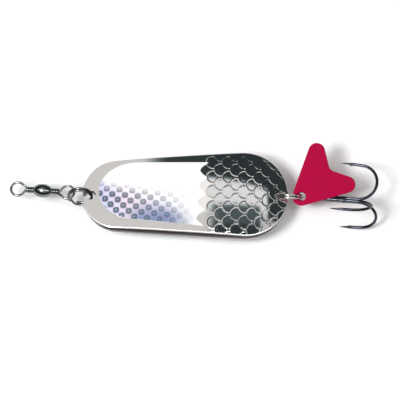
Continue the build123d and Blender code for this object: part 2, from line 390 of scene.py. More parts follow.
def sheetTop(x):
    across = abs(2 * x / blade["length"] - 1)
    return blade["tipLift"] + blade["bellyLift"] * (1 - across**3) + blade["thickness"] / 2


def onSheet(x, y, drop=0.0):
    reach = blade["crownRadius"] + sheetTop(x) - drop
    return math.sqrt(reach * reach - y * y) - blade["crownRadius"]


def outlineStations():
    # points of one side's outline with their outward normals, from the head tip to the tail tip
    head, tail = blade["headRadius"], blade["tailRadius"]
    gap = blade["length"] - head - tail
    lean = math.asin((tail - head) / gap)  # the straight sides open by this angle
    stations = []
    steps = int(head * math.pi / 2 / blade["coarseStep"] * 1.6)
    for i in range(steps):
        a = math.pi - (math.pi / 2 - lean) * i / steps
        stations.append((head + head * math.cos(a), head * math.sin(a), math.cos(a), math.sin(a)))
    a = math.pi / 2 + lean
    start = (head + head * math.cos(a), head * math.sin(a))
    end = (blade["length"] - tail + tail * math.cos(a), tail * math.sin(a))
    x = start[0]
    while x < end[0] - blade["fineStep"] / 2:
        share = (x - start[0]) / (end[0] - start[0])
        stations.append((x, start[1] + share * (end[1] - start[1]), math.cos(a), math.sin(a)))
        x += blade["coarseStep"] if x < blade["fineFrom"] else blade["fineStep"]
    steps = int(tail * a / blade["fineStep"])
    for i in range(steps + 1):
        b = a - a * i / steps
        x = blade["length"] - tail + tail * math.cos(b)
        stations.append((x, tail * math.sin(b), math.cos(b), math.sin(b)))
    return stations


def bladeShell():
    # top face, rolled edge and under face as one closed skin, in millimetres from the head tip
    stations = outlineStations()
    bevel, thick = blade["rimBevel"], blade["thickness"]
    edge = [(bevel, 0.0), (bevel * 0.75, 0.02), (bevel * 0.5, 0.08), (0.05, 0.29), (0.0, 0.38)]
    edge += [(0.0, thick - 0.16), (0.07, thick - 0.04), (0.18, thick)]
    verts, faces, rows = [], [], []

    def addRow(points):
        first = len(verts)
        verts.extend(points)
        rows.append(range(first, len(verts)))

    def insetPoint(station, side, inset, drop):
        x = station[0] - inset * station[2]
        y = side * max(station[1] - inset * station[3], 0.0)
        return (x, y, onSheet(x, y, drop))

    count = blade["rows"]
    for i in range(count + 1):
        share = 2 * i / count - 1
        row = []
        for station in stations:
            x, y, _ = insetPoint(station, 1, bevel, 0)
            row.append((x, share * y, onSheet(x, share * y)))
        addRow(row)
    for inset, drop in edge[1:]:
        addRow([insetPoint(s, 1, inset, drop) for s in stations])
    inner = edge[-1][0]
    for i in range(1, blade["backRows"]):
        share = 1 - 2 * i / blade["backRows"]
        row = []
        for station in stations:
            x, y, _ = insetPoint(station, 1, inner, thick)
            row.append((x, share * y, onSheet(x, share * y, thick)))
        addRow(row)
    for inset, drop in reversed(edge[1:]):
        addRow([insetPoint(s, -1, inset, drop) for s in stations])
    for first, second in zip(rows, rows[1:] + rows[:1]):
        for i in range(len(first) - 1):
            faces.append((first[i], first[i + 1], second[i + 1], second[i]))
    return verts, faces


def scaleTree(material):
    # raises overlapping scale crests on a centred square lattice, and domes each scale
    tree = bpy.data.node_groups.new("embossedScales", "GeometryNodeTree")
    tree.is_modifier = True
    tree.interface.new_socket("Geometry", in_out="INPUT", socket_type="NodeSocketGeometry")
    tree.interface.new_socket("Geometry", in_out="OUTPUT", socket_type="NodeSocketGeometry")
    for name in (*scales, "Tip X", "Tip Y", "Side"):
        tree.interface.new_socket(name, in_out="INPUT", socket_type="NodeSocketFloat")
    given = tree.nodes.new("NodeGroupInput")
    size = given.outputs
    position = tree.nodes.new("GeometryNodeInputPosition")
    split = tree.nodes.new("ShaderNodeSeparateXYZ")
    tree.links.new(position.outputs[0], split.inputs[0])
    x = nodeMath(tree, "MULTIPLY", nodeMath(tree, "SUBTRACT", split.outputs[0], size["Tip X"]), 1 / mm)
    y = nodeMath(tree, "MULTIPLY", nodeMath(tree, "SUBTRACT", split.outputs[1], size["Tip Y"]), 1 / mm)

    def fromCentre(value, start, shift):
        # signed distance to the nearest scale's middle
        cell = nodeMath(tree, "DIVIDE", nodeMath(tree, "SUBTRACT", value, start), size["Pitch"])
        cell = nodeMath(tree, "FRACT", nodeMath(tree, "ADD", cell, shift))
        return nodeMath(tree, "MULTIPLY", nodeMath(tree, "SUBTRACT", cell, 0.5), size["Pitch"])

    def distance(a, b):
        square = nodeMath(tree, "MULTIPLY_ADD", a, a, nodeMath(tree, "MULTIPLY", b, b))
        return nodeMath(tree, "SQRT", square)

    def crestOf(reach):
        off = nodeMath(tree, "DIVIDE", nodeMath(tree, "SUBTRACT", reach, size["Radius"]), size["Ridge Width"])
        squared = nodeMath(tree, "MULTIPLY", off, off)
        return nodeMath(tree, "EXPONENT", nodeMath(tree, "MULTIPLY", squared, -1.0))

    def covered(own, other, otherReach):
        # 1 where the other scale lies nearer the tail and over this point
        nearer = nodeMath(tree, "GREATER_THAN", own, other)
        ridgeShare = nodeMath(tree, "MULTIPLY", size["Ridge Width"], 0.6)
        limit = nodeMath(tree, "SUBTRACT", size["Radius"], ridgeShare)
        inside = nodeMath(tree, "LESS_THAN", otherReach, limit)
        return nodeMath(tree, "MULTIPLY", nearer, inside)

    oneX, oneY = fromCentre(x, size["Shift X"], 0.0), fromCentre(y, size["Shift Y"], 0.0)
    twoX, twoY = fromCentre(x, size["Shift X"], 0.5), fromCentre(y, size["Shift Y"], 0.5)
    oneReach, twoReach = distance(oneX, oneY), distance(twoX, twoY)
    oneHidden = covered(oneX, twoX, twoReach)
    twoHidden = covered(twoX, oneX, oneReach)
    # a scale is there when its own middle lies behind the print
    oneThere = nodeMath(tree, "GREATER_THAN", nodeMath(tree, "SUBTRACT", x, oneX), size["Start"])
    twoThere = nodeMath(tree, "GREATER_THAN", nodeMath(tree, "SUBTRACT", x, twoX), size["Start"])
    oneShown = nodeMath(tree, "MULTIPLY", oneThere, nodeMath(tree, "SUBTRACT", 1.0, oneHidden))
    twoShown = nodeMath(tree, "MULTIPLY", twoThere, nodeMath(tree, "SUBTRACT", 1.0, twoHidden))
    crest = nodeMath(
        tree,
        "MAXIMUM",
        nodeMath(tree, "MULTIPLY", oneShown, crestOf(oneReach)),
        nodeMath(tree, "MULTIPLY", twoShown, crestOf(twoReach)),
    )

    def domeOf(reach, shown):
        share = nodeMath(tree, "DIVIDE", reach, size["Radius"])
        dome = nodeMath(tree, "SUBTRACT", 1.0, nodeMath(tree, "MULTIPLY", share, share), clamp=True)
        return nodeMath(tree, "MULTIPLY", dome, shown)

    dome = nodeMath(tree, "MAXIMUM", domeOf(oneReach, oneShown), domeOf(twoReach, twoShown))
    # only on the outer face, and dying out at the rim
    face = tree.nodes.new("GeometryNodeInputNamedAttribute")
    face.data_type = "FLOAT"
    face.inputs[0].default_value = "outerFace"
    area = face.outputs[0]
    crest = nodeMath(tree, "MULTIPLY", crest, area)
    height = nodeMath(tree, "MULTIPLY", crest, size["Ridge Height"])
    height = nodeMath(
        tree,
        "ADD",
        height,
        nodeMath(tree, "MULTIPLY", nodeMath(tree, "MULTIPLY", dome, area), size["Dome Height"]),
    )
    height = nodeMath(tree, "MULTIPLY", nodeMath(tree, "MULTIPLY", height, mm), size["Side"])
    move = tree.nodes.new("ShaderNodeCombineXYZ")
    tree.links.new(height, move.inputs[2])
    setPosition = tree.nodes.new("GeometryNodeSetPosition")
    tree.links.new(size["Geometry"], setPosition.inputs["Geometry"])
    tree.links.new(move.outputs[0], setPosition.inputs["Offset"])
    last = setPosition.outputs[0]
    source = size["Geometry"]
    struck = nodeMath(tree, "MULTIPLY", smoothStep(tree, dome, 0.0, 0.12), area)
    for name, value in (("crest", crest), ("struck", struck)):
        store = tree.nodes.new("GeometryNodeStoreNamedAttribute")
        store.data_type = "FLOAT"
        store.domain = "POINT"
        store.inputs["Name"].default_value = name
        tree.links.new(source, store.inputs["Geometry"])
        tree.links.new(value, store.inputs["Value"])
        source = store.outputs[0]
    tree.links.new(source, setPosition.inputs["Geometry"])
    realize = tree.nodes.new("GeometryNodeRealizeInstances")
    tree.links.new(last, realize.inputs[0])
    paint = tree.nodes.new("GeometryNodeSetMaterial")
    paint.inputs["Material"].default_value = material
    tree.links.new(realize.outputs[0], paint.inputs["Geometry"])
    out = tree.nodes.new("NodeGroupOutput")
    tree.links.new(paint.outputs[0], out.inputs["Geometry"])
    return tree


def giveInputs(modifier, values):
    for item in modifier.node_group.interface.items_tree:
        if item.item_type == "SOCKET" and item.in_out == "INPUT" and item.name in values:
            modifier[item.identifier] = values[item.name]


scaleNodes = scaleTree(bladeMetal)
shellVerts, shellFaces = bladeShell()
outerCount = (blade["rows"] + 1) * len(outlineStations())


def makeBlade(name, node, side):
    verts = [(bladeTip.x + x * mm, bladeTip.y + y * mm, bladeTip.z + side * z * mm) for x, y, z in shellVerts]
    piece = meshPiece(name, verts, shellFaces, [bladeMetal])
    face = piece.data.attributes.new("outerFace", "FLOAT", "POINT")
    columns = outerCount // (blade["rows"] + 1)
    fade = []
    for i in range(len(verts)):
        row = i // columns
        rim = min(row, blade["rows"] - row) / 4.0 if i < outerCount else 0.0
        fade.append(min(max(rim, 0.0), 1.0))
    face.data.foreach_set("value", fade)
    innerStart = outerCount + 2 * columns  # the sheared edge and the inner face
    innerEnd = outerCount + (blade["backRows"] + 11) * columns
    # marks the sheared edge and inner faces: rolled finish plus painted shade from the gap between the blades
    rolledAndShaded = piece.data.attributes.new("rolledAndShaded", "FLOAT", "POINT")
    rolledAndShaded.data.foreach_set("value", [1.0 if innerStart <= i < innerEnd else 0.0 for i in range(len(verts))])
    emboss = piece.modifiers.new("scales", "NODES")
    emboss.node_group = scaleNodes
    giveInputs(emboss, {**scales, "Tip X": bladeTip.x, "Tip Y": bladeTip.y, "Side": float(side)})
    cutters = []
    for hole in blade["holes"]:
        bpy.ops.mesh.primitive_cylinder_add(
            vertices=64,
            radius=blade["holeRadius"] * mm,
            depth=20 * mm,
            location=(bladeTip.x + hole * mm, bladeTip.y, bladeTip.z),
        )
        cutter = bpy.context.object
        cutters.append(cutter)
        punch = piece.modifiers.new("hole", "BOOLEAN")
        punch.operation = "DIFFERENCE"
        punch.solver = "EXACT"
        punch.object = cutter
    settle(piece, 50)
    for cutter in cutters:
        bpy.data.objects.remove(cutter)
    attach(piece, node)
    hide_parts(node)
    return piece


makeBlade("frontBlade", "front_blade", 1)
makeBlade("rearBlade", "rear_blade", -1)
print("blades made")


# ---- printed foil, scalloped where the embossed scales begin
foil = {
    "left": 6.0,
    "straight": 20.0,
    "rightTop": 46.0,
    "rightBottom": 44.1,
    "top": 11.8,
    "bottomLeft": -9.7,
    "bottomRight": -12.4,
    "scallops": 4,
    "scallopDepth": 2.7,
    "scallopFullness": 1.25,  # 1 makes sharp cusps, 2 a plain wave
    "thickness": 0.08,
    "rows": 240,
    "columns": 60,
}


def foilRight(y):
    share = (foil["top"] - y) / (foil["top"] - foil["bottomRight"])
    return foil["rightTop"] + share * (foil["rightBottom"] - foil["rightTop"])


def foilSpan(y):
    # where a row across the foil starts and ends
    middle = (foil["top"] + foil["bottomLeft"]) / 2
    half = (foil["top"] - foil["bottomLeft"]) / 2
    if y >= foil["bottomLeft"]:
        bow = math.sqrt(max(0, 1 - ((y - middle) / half) ** 2))
        left = foil["straight"] - (foil["straight"] - foil["left"]) * bow
    else:
        share = (y - foil["bottomLeft"]) / (foil["bottomRight"] - foil["bottomLeft"])
        left = foil["straight"] + share * (foil["rightBottom"] - foil["straight"])
    pitch = (foil["top"] - foil["bottomRight"]) / foil["scallops"]
    off = ((foil["top"] - y) / pitch) % 1.0 - 0.5
    bite = abs(math.cos(math.pi * off)) ** foil["scallopFullness"]
    right = foilRight(y) - foil["scallopDepth"] * bite
    return left, max(left, right)


def makeFoil(name, node, side):
    verts, faces = [], []
    count = foil["columns"]
    layers = ((foil["thickness"], 0), (-0.02, 1))
    for rise, _ in layers:
        for j in range(foil["rows"] + 1):
            y = foil["top"] + (foil["bottomRight"] - foil["top"]) * j / foil["rows"]
            left, right = foilSpan(y)
            for i in range(count + 1):
                x = left + (right - left) * i / count
                z = onSheet(x, y, -rise)
                verts.append((bladeTip.x + x * mm, bladeTip.y + y * mm, bladeTip.z + side * z * mm))
    size = (foil["rows"] + 1) * (count + 1)

    def at(layer, j, i):
        return layer * size + j * (count + 1) + i

    for j in range(foil["rows"]):
        for i in range(count):
            faces.append((at(0, j, i), at(0, j, i + 1), at(0, j + 1, i + 1), at(0, j + 1, i)))
            faces.append((at(1, j, i), at(1, j + 1, i), at(1, j + 1, i + 1), at(1, j, i + 1)))
        for i in (0, count):
            faces.append((at(0, j, i), at(0, j + 1, i), at(1, j + 1, i), at(1, j, i)))
    for j in (0, foil["rows"]):
        for i in range(count):
            faces.append((at(0, j, i), at(0, j, i + 1), at(1, j, i + 1), at(1, j, i)))
    piece = meshPiece(name, verts, faces, [foilFinish])
    settle(piece, 40)
    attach(piece, node.replace("foil", "blade"))
    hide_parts(node)
    return piece


makeFoil("frontFoil", "front_foil", 1)
makeFoil("rearFoil", "rear_foil", -1)
print("foils made")


# ---- drawn wire: one tree turns a path with its own thickness into a round wire
def wireTree():
    tree = bpy.data.node_groups.new("drawnWire", "GeometryNodeTree")
    tree.is_modifier = True
    tree.interface.new_socket("Geometry", in_out="INPUT", socket_type="NodeSocketGeometry")
    tree.interface.new_socket("Geometry", in_out="OUTPUT", socket_type="NodeSocketGeometry")
    tree.interface.new_socket("Sides", in_out="INPUT", socket_type="NodeSocketInt")
    tree.interface.new_socket("Finish", in_out="INPUT", socket_type="NodeSocketMaterial")
    given = tree.nodes.new("NodeGroupInput")
    curve = tree.nodes.new("GeometryNodeMeshToCurve")
    thick = tree.nodes.new("GeometryNodeInputNamedAttribute")
    thick.data_type = "FLOAT"
    thick.inputs[0].default_value = "thick"
    radius = tree.nodes.new("GeometryNodeSetCurveRadius")
    profile = tree.nodes.new("GeometryNodeCurvePrimitiveCircle")
    profile.inputs["Radius"].default_value = 1.0
    skin = tree.nodes.new("GeometryNodeCurveToMesh")
    skin.inputs["Fill Caps"].default_value = True
    realize = tree.nodes.new("GeometryNodeRealizeInstances")
    paint = tree.nodes.new("GeometryNodeSetMaterial")
    out = tree.nodes.new("NodeGroupOutput")
    join = tree.links.new
    join(given.outputs["Geometry"], curve.inputs["Mesh"])
    join(curve.outputs[0], radius.inputs["Curve"])
    join(thick.outputs[0], radius.inputs["Radius"])
    join(radius.outputs[0], skin.inputs["Curve"])
    if "Scale" in skin.inputs:
        join(thick.outputs[0], skin.inputs["Scale"])
    join(given.outputs["Sides"], profile.inputs["Resolution"])
    join(profile.outputs["Curve"], skin.inputs["Profile Curve"])
    join(skin.outputs[0], realize.inputs[0])
    join(realize.outputs[0], paint.inputs["Geometry"])
    join(given.outputs["Finish"], paint.inputs["Material"])
    join(paint.outputs[0], out.inputs["Geometry"])
    return tree


wireNodes = wireTree()


def makeWire(name, paths, material, sides=20):
    # paths: lists of (point, radius) in metres; several become one piece
    verts, edges, thick = [], [], []
    for path in paths:
        first = len(verts)
        verts += [tuple(p) for p, _ in path]
        thick += [r for _, r in path]
        edges += [(first + i, first + i + 1) for i in range(len(path) - 1)]
    mesh = bpy.data.meshes.new(name)
    mesh.from_pydata(verts, edges, [])
    mesh.attributes.new("thick", "FLOAT", "POINT").data.foreach_set("value", thick)
    piece = bpy.data.objects.new(name, mesh)
    scene.collection.objects.link(piece)
    draw = piece.modifiers.new("wire", "NODES")
    draw.node_group = wireNodes
    giveInputs(draw, {"Sides": sides, "Finish": material})
    settle(piece, 35)
    return piece


def smoothPath(points, closeness=0.12):
    # a curve through a few points, spaced evenly enough to bend smoothly
    made = []
    padded = [points[0] * 2 - points[1], *points, points[-1] * 2 - points[-2]]
    for a, b, c, d in zip(padded, padded[1:], padded[2:], padded[3:]):
        steps = max(2, int((c - b).length / closeness))
        for i in range(steps):
            t = i / steps
            made.append(
                0.5
                * (2 * b + (c - a) * t + (2 * a - 5 * b + 4 * c - d) * t * t + (3 * b - 3 * c + d - a) * t**3)
            )
    return [*made, points[-1]]


def frameOf(origin, xDir, zDir):
    # a matrix from local millimetres to the row frame in metres
    x = xDir.normalized()
    z = (zDir - zDir.dot(x) * x).normalized()
    y = z.cross(x)
    turn = Matrix((x, y, z)).transposed().to_4x4()
    return Matrix.Translation(origin) @ turn @ Matrix.Scale(mm, 4)


# ---- split rings: one springy wire of nearly two turns, crossing over in a short jog
ring = {
    "wire": 0.9,
    "outer": 9.4,
    "pitch": 0.93,
    "jog": 36.0,
    "endGap": 5.0,
    "start": -110.0,
    "slack": 0.25,
    "frontLean": 20.0,
    "rearLean": -17.0,
    "steps": 260,
}
ringRadius = (ring["outer"] - ring["wire"]) / 2


def ringFrame(centre, leanDegrees):
    lean = math.radians(leanDegrees)
    return frameOf(centre, Vector((1, 0, 0)), Vector((0, -math.cos(lean), math.sin(lean))))


def ringPath(place):
    total = 720 - ring["jog"] - ring["endGap"]
    radius = ring["wire"] / 2
    path = []
    for i in range(ring["steps"] + 1):
        turned = total * i / ring["steps"]
        cross = min(max((turned - (360 - ring["jog"])) / ring["jog"], 0), 1)
        cross = cross * cross * (3 - 2 * cross)
        a = math.radians(ring["start"] + turned)
        z = ring["pitch"] * (cross - 0.5)
        ends = min(turned, total - turned) * math.pi / 180 * ringRadius  # rounded cut ends
        end = math.sqrt(max(0.0, 1 - max(0.0, 1 - ends / 0.2) ** 2))
        thick = radius * max(0.55, end)
        path.append((place @ Vector((ringRadius * math.cos(a), ringRadius * math.sin(a), z)), thick * mm))
    return path


headHole = bladeTip + Vector((blade["holes"][0], 0, 0)) * mm
tailHole = bladeTip + Vector((blade["holes"][1], 0, 0)) * mm
frontRingAt = headHole + Vector((ring["slack"] - ringRadius, 0, 0)) * mm
rearRingAt = tailHole + Vector((ringRadius - ring["slack"], 0, 0)) * mm
for name, node, body, centre, lean, finish, slot in (
    (
        "frontRing", "front_split_ring", "front_ring",
        frontRingAt, ring["frontLean"], darkRingMetal, "black_nickel",
    ),
    (
        "rearRing", "rear_split_ring", "rear_ring",
        rearRingAt, ring["rearLean"], ringMetal, "ring_nickel",
    ),
):
    piece = makeWire(name, [ringPath(ringFrame(centre, lean))], finish)
    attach(piece, body)
    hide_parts(node)
print("split rings made")


# ---- barrel swivel
swivel = {
    "rearEye": Vector((18.26, -1.95, 2.13)) * mm,
    "wire": 0.9,
    "eyeOuter": 5.85,
    "barrelLength": 6.6,
    "barrelRadius": 2.55,
    "barrelEndRadius": 1.25,
    "bore": 0.48,
    "shank": 0.42,
    "wraps": 3.6,
    "wrapPitch": 0.84,
    "wrapRadius": 0.80,
}
swivelLength = swivel["rearEye"].length / mm
swivelFrame = frameOf(Vector((0, 0, 0)), swivel["rearEye"], Vector((0, 0, 1)))


def barrelProfile():
    half, radius, endRadius = swivel["barrelLength"] / 2, swivel["barrelRadius"], swivel["barrelEndRadius"]
    bow = (half * half + (radius - endRadius) ** 2) / (2 * (radius - endRadius))
    outside = []
    steps = 40
    for i in range(steps + 1):
        x = -half + 2 * half * i / steps
        y = radius - bow + math.sqrt(bow * bow - x * x)
        lip = min(half - abs(x), 0.35) / 0.35  # rolled-over ends
        outside.append((x, y - 0.16 * (1 - lip) ** 2))
    bore = swivel["bore"]
    inside = [(half - 0.02, bore + 0.12), (half - 0.12, bore), (half - 0.7, bore)]
    cavity = [(half - 0.7, 1.1), (half * 0.45, 1.75), (0, radius - 0.6)]
    ends = [*inside, *cavity]
    mirrored = [(-x, y) for x, y in reversed(ends[:-1])]
    return [*outside, *ends, *mirrored]


def makeBarrel():
    profile = barrelProfile()
    around = 64
    place = swivelFrame @ Matrix.Translation((swivelLength / 2, 0, 0))
    verts, faces = [], []
    for j in range(around):
        a = 2 * math.pi * j / around
        verts += [place @ Vector((x, y * math.cos(a), y * math.sin(a))) for x, y in profile]
    size = len(profile)
    for j in range(around):
        here, there = j * size, (j + 1) % around * size
        for i in range(size):
            n = (i + 1) % size
            faces.append((here + i, here + n, there + n, there + i))
    piece = meshPiece("swivelBarrel", verts, faces, [swivelMetal])
    settle(piece, 32)
    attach(piece, "barrel")
    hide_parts("swivel_barrel")
    return piece


def eyePath(towards, centreAt):
    # from the head in the barrel, out along the axis, round the loop and back over itself in wraps
    wire, shank = swivel["wire"] / 2, swivel["shank"]
    loop = (swivel["eyeOuter"] - swivel["wire"]) / 2
    barrelEnd = abs(swivelLength / 2 - centreAt) - swivel["barrelLength"] / 2  # from the eye's centre
    inner = barrelEnd + 0.7 + 0.15
    points = [
        Vector((inner + 0.8, 0, 0)),
        Vector((inner, 0, 0)),
        Vector((barrelEnd + 0.1, 0, 0)),
        Vector((loop + 1.2, 0, 0)),
        Vector((loop + 0.5, -0.1, -0.05)),
    ]
    neck = smoothPath(points)
    start = math.radians(38)
    loopPoints = []
    for i in range(49):
        a = -start - (2 * math.pi - 2 * start) * i / 48
        stretch = 1 + 0.10 * max(0.0, math.cos(a)) ** 2  # a slight pear shape
        height = 0.34 * (i / 48 - 0.15)
        loopPoints.append(Vector((loop * stretch * math.cos(a), loop * math.sin(a), height)))
    wrapStart = loop + 0.75
    wraps = []
    count = 26
    turns = swivel["wraps"]
    for i in range(int(count * turns) + 1):
        a = math.pi / 2 - 2 * math.pi * i / count
        x = wrapStart + swivel["wrapPitch"] * i / count
        turned, radius = a - math.pi / 2, swivel["wrapRadius"]
        wraps.append(Vector((x, radius * math.cos(turned), radius * math.sin(turned))))
    whole = neck + smoothPath([neck[-1], *loopPoints[::4], wraps[0]])[1:] + wraps[1:]
    place = swivelFrame @ Matrix.Translation((centreAt, 0, 0)) @ Matrix.Scale(1, 4)
    path = []
    for point in whole:
        flipped = Vector((point.x * towards, point.y * towards, point.z))
        head = point.x > inner - 0.01 and abs(point.y) < 0.01
        path.append((place @ flipped, (0.85 if head else wire) * mm))
    return path


makeBarrel()
for name, node, body, centreAt, towards in (
    ("swivelFrontEye", "swivel_front_eye", "swivel_front", 0.0, 1),
    ("swivelRearEye", "swivel_rear_eye", "swivel_rear", swivelLength, -1),
):
    piece = makeWire(name, [eyePath(towards, centreAt)], swivelMetal)
    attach(piece, body)
    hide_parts(node)
print("swivel made")


# ---- tail: the treble and the tag share the rear ring's far side
tail = {
    "pitch": 12.0,
    "tagLift": 1.15,
    "tagShift": 0.26,
    "tagTurn": 42.8,
    "drop": 1.0,
    "shift": 0.05,
    "yaw": -4.3,
    "roll": 13.7,
}
rearLean = math.radians(ring["rearLean"])
ringAcross = Vector((0, math.sin(rearLean), math.cos(rearLean)))
pitch = math.radians(tail["pitch"])
tailOut = Vector((math.cos(pitch), 0, 0)) + ringAcross * math.sin(pitch)
tailUp = ringAcross * math.cos(pitch) - Vector((math.sin(pitch), 0, 0))
tailFrame = frameOf(rearRingAt + Vector((ringRadius, 0, 0)) * mm, tailOut, tailUp)

treble = {
    "wire": 1.1,
    "eyeInner": 2.9,
    "gap": 0.04,
    "bendStart": 20.6,
    "bendRadius": 6.4,
    "flare": 4.0,
    "leg": 3.2,
    "point": 5.0,
    "tip": 0.05,
    "barbBack": 3.3,
    "barbLength": 1.5,
    "singleStart": 5.0,
    "brazeStart": 5.6,
    "brazeLength": 11.0,
}
wireRadius = treble["wire"] / 2
strandOffset = wireRadius + treble["gap"] / 2
singleLift = math.sqrt(3) * strandOffset
trebleFrame = (
    tailFrame
    @ Matrix.Translation((tail["shift"], 0, -tail["drop"]))
    @ Matrix.Rotation(math.radians(tail["yaw"]), 4, "Z")
    @ Matrix.Rotation(math.radians(tail["roll"]), 4, "X")
)


def hookPath(strand, start):
    # shank, round bend, straight leg and a slim ground point
    bend, radius = treble["bendStart"], treble["bendRadius"]
    points = [(Vector((start + (bend - start) * i / 12, 0, 0)), wireRadius) for i in range(12)]
    sweep = 180 - treble["flare"]
    for i in range(41):
        a = math.radians(-90 + sweep * i / 40)
        points.append((Vector((bend + radius * math.cos(a), radius + radius * math.sin(a), 0)), wireRadius))
    end = math.radians(sweep)
    back = Vector((math.cos(end), math.sin(end), 0))
    last = points[-1][0]
    whole = treble["leg"] + treble["point"]
    for i in range(1, 29):
        along = whole * i / 28
        share = max(0.0, (along - treble["leg"]) / treble["point"])
        thick = treble["tip"] + (wireRadius - treble["tip"]) * (1 - share) ** 0.8
        curl = -0.22 * share * share  # the point turns in a touch
        points.append((last + back * along + Vector((0, curl, 0)), thick))
    return [(strand @ p, r * mm) for p, r in points]


def barbPath(strand):
    # the barb is raised from the point's inner side, facing back to the bend
    end = math.radians(180 - treble["flare"])
    back = Vector((math.cos(end), math.sin(end), 0))
    radius = treble["bendRadius"]
    last = Vector((treble["bendStart"] + radius * math.sin(end), radius - radius * math.cos(end), 0))
    foot = last + back * (treble["leg"] + treble["point"] - treble["barbBack"] + 0.9)
    away = Vector((-back.x, -back.y, 0)) * math.cos(0.42) + Vector((0, -1, 0)) * math.sin(0.42)
    return [
        (strand @ (foot + away * treble["barbLength"] * 1.5 * i / 8), (0.30 * (1 - i / 8) ** 0.7 + 0.03) * mm)
        for i in range(9)
    ]


def turnX(degrees):
    return Matrix.Rotation(math.radians(degrees), 4, "X")


def makeTreble():
    eyeMiddle = (treble["eyeInner"] + treble["wire"]) / 2
    sides = [
        trebleFrame @ Matrix.Translation((0, side * strandOffset, 0)) @ turnX(-90 + side * 60)
        for side in (1, -1)
    ]
    # the eye opens from the two strands with a soft shoulder each side
    neckAt = treble["singleStart"] - 0.6
    eye = []
    for i in range(57):
        a = math.radians(34 + (360 - 68) * i / 56)
        eye.append(Vector((eyeMiddle * math.cos(a), eyeMiddle * math.sin(a), 0)))
    before = [Vector((neckAt, strandOffset, 0)), Vector((neckAt - 1.1, strandOffset + 0.1, 0))]
    after = [Vector((neckAt - 1.1, -strandOffset - 0.1, 0)), Vector((neckAt, -strandOffset, 0))]
    loop = smoothPath([*before, *eye[::5], eye[-1], *after])
    loop = [(trebleFrame @ p, wireRadius * mm) for p in loop]
    first = hookPath(sides[0], neckAt)
    second = hookPath(sides[1], neckAt)
    doubled = [*reversed(first), *loop[1:-1], *second]
    piece = makeWire("trebleDouble", [doubled, barbPath(sides[0]), barbPath(sides[1])], hookMetal, 22)
    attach(piece, "treble")
    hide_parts("treble_double_wire")
    strand = trebleFrame @ Matrix.Translation((0, 0, singleLift)) @ turnX(90)
    third = hookPath(strand, treble["singleStart"])
    single = makeWire("trebleSingle", [third, barbPath(strand)], hookMetal, 22)
    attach(single, "treble")
    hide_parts("treble_single_wire")


def makeBraze():
    # filler flowed round the three wires, fat in the grooves and feathered at both ends
    around, along = 60, 44
    centres = [(strandOffset, 0.0), (-strandOffset, 0.0), (0.0, singleLift)]
    middle = singleLift / 3
    verts, faces = [], []
    for i in range(along + 1):
        share = i / along
        x = treble["brazeStart"] + treble["brazeLength"] * share
        swell = min(1.0, 6 * share, 6 * (1 - share))
        swell = math.sqrt(max(0.0, 1 - (1 - swell) ** 2))
        wave = 0.02 * math.sin(9 * share * math.pi + 1.3) + 0.015 * math.sin(23 * share)
        for j in range(around):
            a = 2 * math.pi * j / around
            ray = (math.cos(a), math.sin(a))
            reach = 0.0
            for cy, cz in centres:
                near = cy * ray[0] + (cz - middle) * ray[1]
                off = abs(cy * ray[1] - (cz - middle) * ray[0])
                radius = wireRadius + 0.02 + (0.07 + wave) * swell
                if off < radius:
                    reach = max(reach, near + math.sqrt(radius * radius - off * off))
            fillet = (0.92 + wave) * swell + 0.2 * (1 - swell)
            reach = max(reach, fillet)
            verts.append(trebleFrame @ Vector((x, reach * ray[0], middle + reach * ray[1])))
    for i in range(along):
        for j in range(around):
            n = (j + 1) % around
            faces.append((i * around + j, (i + 1) * around + j, (i + 1) * around + n, i * around + n))
    faces.append(tuple(range(around)))
    faces.append(tuple(along * around + j for j in reversed(range(around))))
    piece = meshPiece("trebleBraze", verts, faces, [hookMetal])
    settle(piece, 50)
    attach(piece, "treble")
    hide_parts("treble_braze")


makeTreble()
makeBraze()
print("treble made")


# ---- tag: die-cut plastic tail with two round lobes
tag = {
    "thickness": 0.9,
    "hole": 1.65,
    "end": 3.4,
    "lobe": 3.0,
    "reach": 17.4,
    "spread": 28.4,
    "notch": 14.2,
    "notchFillet": 2.4,
    "edge": 0.16,
}


def arcPoints(centre, radius, start, end, steps):
    angles = [start + (end - start) * i / steps for i in range(steps + 1)]
    return [(centre[0] + radius * math.cos(a), centre[1] + radius * math.sin(a)) for a in angles]


def tagOutline():
    # half the outline, from the middle of the round end to the bottom of the notch, then mirrored
    spread = math.radians(tag["spread"])
    lobe = (tag["reach"] * math.cos(spread), tag["reach"] * math.sin(spread))
    side = spread + math.acos((tag["end"] - tag["lobe"]) / tag["reach"])  # outward from the straight side
    toLobe = math.atan2(lobe[1], lobe[0] - tag["notch"])
    gap = math.hypot(lobe[1], lobe[0] - tag["notch"])
    notchEdge = toLobe - math.asin(tag["lobe"] / gap)
    half = arcPoints((0, 0), tag["end"], math.pi, side, 24)
    half += arcPoints(lobe, tag["lobe"], side, notchEdge - math.pi / 2, 30)
    # the fillet's centre lies on the axis beyond the notch's corner
    centre = (tag["notch"] + tag["notchFillet"] / math.sin(notchEdge), 0)
    half += arcPoints(centre, tag["notchFillet"], notchEdge + math.pi / 2, math.pi, 12)
    return half + [(x, -y) for x, y in reversed(half[1:-1])]


